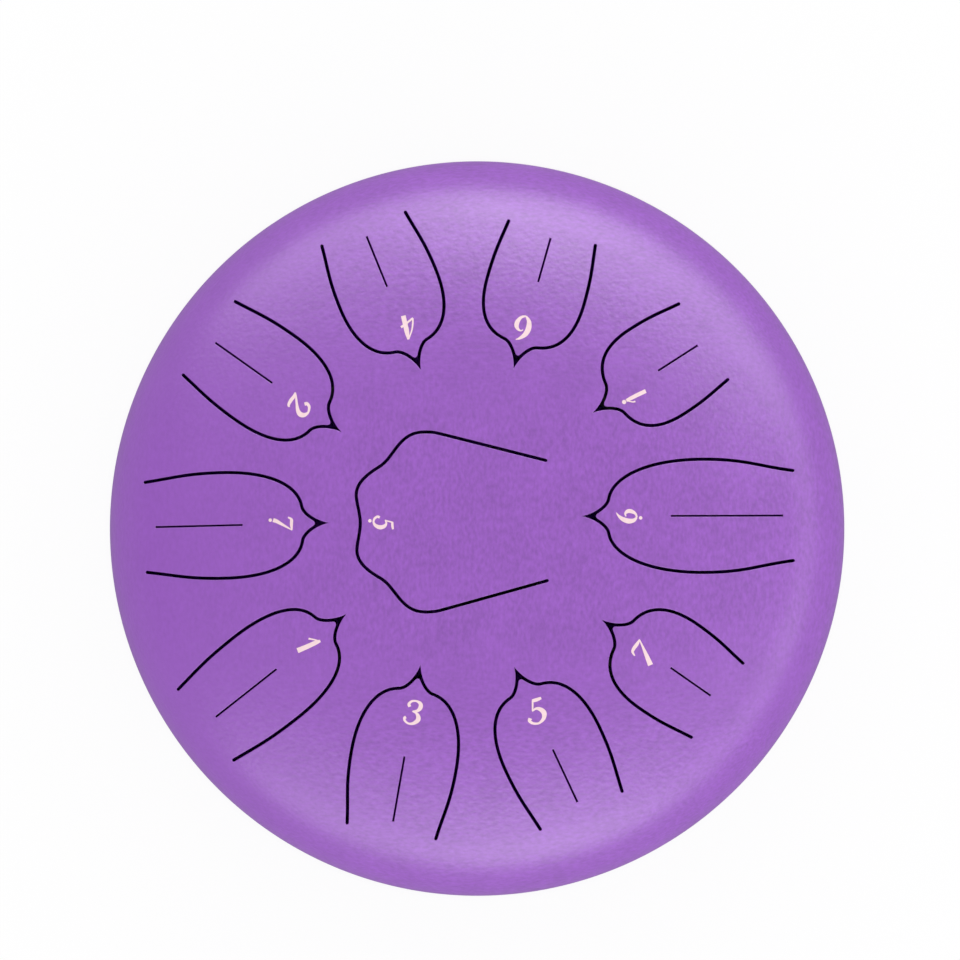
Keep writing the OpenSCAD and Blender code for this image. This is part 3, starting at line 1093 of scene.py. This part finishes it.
def makeFloor():
    half = floorLook["width"] / 2
    mesh = bpy.data.meshes.new("floor")
    corners = [(-half, -half, 0), (half, -half, 0), (half, half, 0), (-half, half, 0)]
    mesh.from_pydata(corners, [], [(0, 1, 2, 3)])
    floor = bpy.data.objects.new("floor", mesh)
    bpy.context.scene.collection.objects.link(floor)
    material, tree, shader = newMaterial("pale_floor")
    shader.inputs["Roughness"].default_value = floorLook["roughness"]
    shader.inputs["Specular IOR Level"].default_value = 0
    place = addNode(tree, "ShaderNodeTexCoord")
    reach = addNode(tree, "ShaderNodeVectorMath", "LENGTH")
    tree.links.new(place.outputs["Object"], reach.inputs[0])

    def outside(ends):
        return mapped(tree, reach.outputs["Value"], ends, (0, 1))

    path = addNode(tree, "ShaderNodeLightPath")
    glossy = path.outputs["Is Glossy Ray"]
    plain = mixColours(tree, glossy, floorLook["colour"], floorLook["gloss"])
    # Painted shade: the floor's own colour is near black just under the sound hole
    colour = mixColours(tree, outside(floorLook["paintedShadeEnds"]), floorLook["dark"], plain)
    tree.links.new(colour, shader.inputs["Base Color"])
    glow = addNode(tree, "ShaderNodeEmission")
    tree.links.new(mixColours(tree, glossy, floorLook["glow"], floorLook["gloss"]), glow.inputs["Color"])
    clear = addNode(tree, "ShaderNodeBsdfTransparent")
    face = addNode(tree, "ShaderNodeNewGeometry")
    straight = addMath(tree, "MAXIMUM", path.outputs["Is Camera Ray"], path.outputs["Is Transmission Ray"])
    seen = addMath(tree, "MULTIPLY", addMath(tree, "MAXIMUM", straight, glossy), floorLook["white"])
    lit = mixShaders(tree, addMath(tree, "MULTIPLY", seen, outside(floorLook["shadeEnds"])), shader, glow)
    below = addMath(tree, "MULTIPLY", path.outputs["Is Camera Ray"], face.outputs["Backfacing"])
    whole = mixShaders(tree, below, lit, clear)
    tree.links.new(whole.outputs[0], tree.nodes["Material Output"].inputs["Surface"])
    mesh.materials.append(material)


# Light of the room
room = {
    "colour": (1, 1, 1, 1),
    # It falls off a little towards the drum's -X side and is stronger towards both Y sides
    "dark": 0.675,
    "bright": 1.01,
    "sides": 0.85,
    # Gloss shows the room itself dimmer than the light that it gives
    "gloss": 0.28,
}


def makeWorld():
    world = bpy.data.worlds.new("studio")
    bpy.context.scene.world = world
    world.use_nodes = True
    tree = world.node_tree
    background = tree.nodes["Background"]
    background.inputs["Color"].default_value = room["colour"]
    direction = addNode(tree, "ShaderNodeTexCoord")
    parts = addNode(tree, "ShaderNodeSeparateXYZ")
    tree.links.new(direction.outputs["Generated"], parts.inputs[0])
    level = mapped(tree, parts.outputs["X"], (-1, 1), (room["dark"], room["bright"]))
    sides = addMath(tree, "MULTIPLY", addMath(tree, "POWER", parts.outputs["Y"], 2), room["sides"])
    path = addNode(tree, "ShaderNodeLightPath")
    dimmer = addMath(tree, "MULTIPLY", path.outputs["Is Glossy Ray"], room["gloss"] - 1)
    strength = addMath(tree, "MULTIPLY", addMath(tree, "ADD", level, sides),
                       addMath(tree, "ADD", dimmer, 1))
    tree.links.new(strength, background.inputs["Strength"])


# Panels that only show as gloss: azimuth and elevation of the middle, and brightness
softboxes = {
    "lowRight": (0, 11, 0.85),
    "lowBackRight": (40, 11, 1.6),
    "lowBack": (80, 11, 2.3),
    "lowBackLeft": (120, 11, 1.4),
    "lowFrontLeft": (245, 11, 1.2),
    "lowFront": (285, 11, 1.9),
    "lowFrontRight": (325, 11, 1.05),
    "backRight": (40, 33, 1.8),
    "back": (80, 33, 3.1),
    "backLeft": (120, 33, 1.3),
    "frontLeft": (245, 33, 1.2),
    "front": (285, 33, 1.9),
    "frontRight": (325, 33, 0.5),
}
panels = {
    # Metres from a spot on the drum's axis
    "distance": 1.6,
    "centreHeight": 0.11,
    "halfAcross": 20,
    "halfUp": 11,
    "colour": (0.92, 1.0, 0.86),
    # Watts for each square metre at a brightness of 1
    "watts": 4,
}


def makeLamps():
    reach = panels["distance"]
    for name, (azimuth, elevation, brightness) in softboxes.items():
        lamp = bpy.data.lights.new(name, "AREA")
        lamp.shape = "RECTANGLE"
        e, a = math.radians(elevation), math.radians(azimuth)
        lamp.size = 2 * reach * math.tan(math.radians(panels["halfAcross"])) * math.cos(e)
        lamp.size_y = 2 * reach * math.tan(math.radians(panels["halfUp"]))
        lamp.energy = panels["watts"] * brightness * lamp.size * lamp.size_y
        lamp.color = panels["colour"]
        holder = bpy.data.objects.new(name, lamp)
        out = Vector((math.cos(e) * math.cos(a), math.cos(e) * math.sin(a), math.sin(e)))
        holder.location = out * reach + Vector((0, 0, panels["centreHeight"]))
        holder.rotation_euler = out.to_track_quat("Z", "Y").to_euler()
        holder.visible_diffuse = False
        bpy.context.scene.collection.objects.link(holder)


# Camera over the drum's axis, aimed at a spot on a plane across the drum, in millimetres
cameraPlace = {
    "height": 3350.0,
    "plane": 110.0,
    "aim": (1.188, 20.12),
    # Focal length for each metre of height over the plane
    "lensPerMetre": 90.28,
    "sensorWidth": 36,
    # In metres
    "farClip": 100,
}


def makeCamera():
    data = bpy.data.cameras.new("camera")
    camera = bpy.data.objects.new("camera", data)
    bpy.context.scene.collection.objects.link(camera)
    aim = Vector([v * mm for v in (*cameraPlace["aim"], cameraPlace["plane"])])
    camera.location = (0, 0, (cameraPlace["height"] + cameraPlace["plane"]) * mm)
    data.sensor_width = cameraPlace["sensorWidth"]
    data.lens = cameraPlace["lensPerMetre"] * cameraPlace["height"] * mm
    data.clip_end = cameraPlace["farClip"]
    away = camera.location - aim
    tiltX = math.atan2(aim.y, away.z)
    tiltY = -math.atan2(aim.x, away.z)
    camera.rotation_euler = (tiltX, tiltY, 0)
    bpy.context.scene.camera = camera


makeFloor()
makeWorld()
makeLamps()
makeCamera()
bpy.context.scene.view_settings.view_transform = "Standard"
print("stage made")
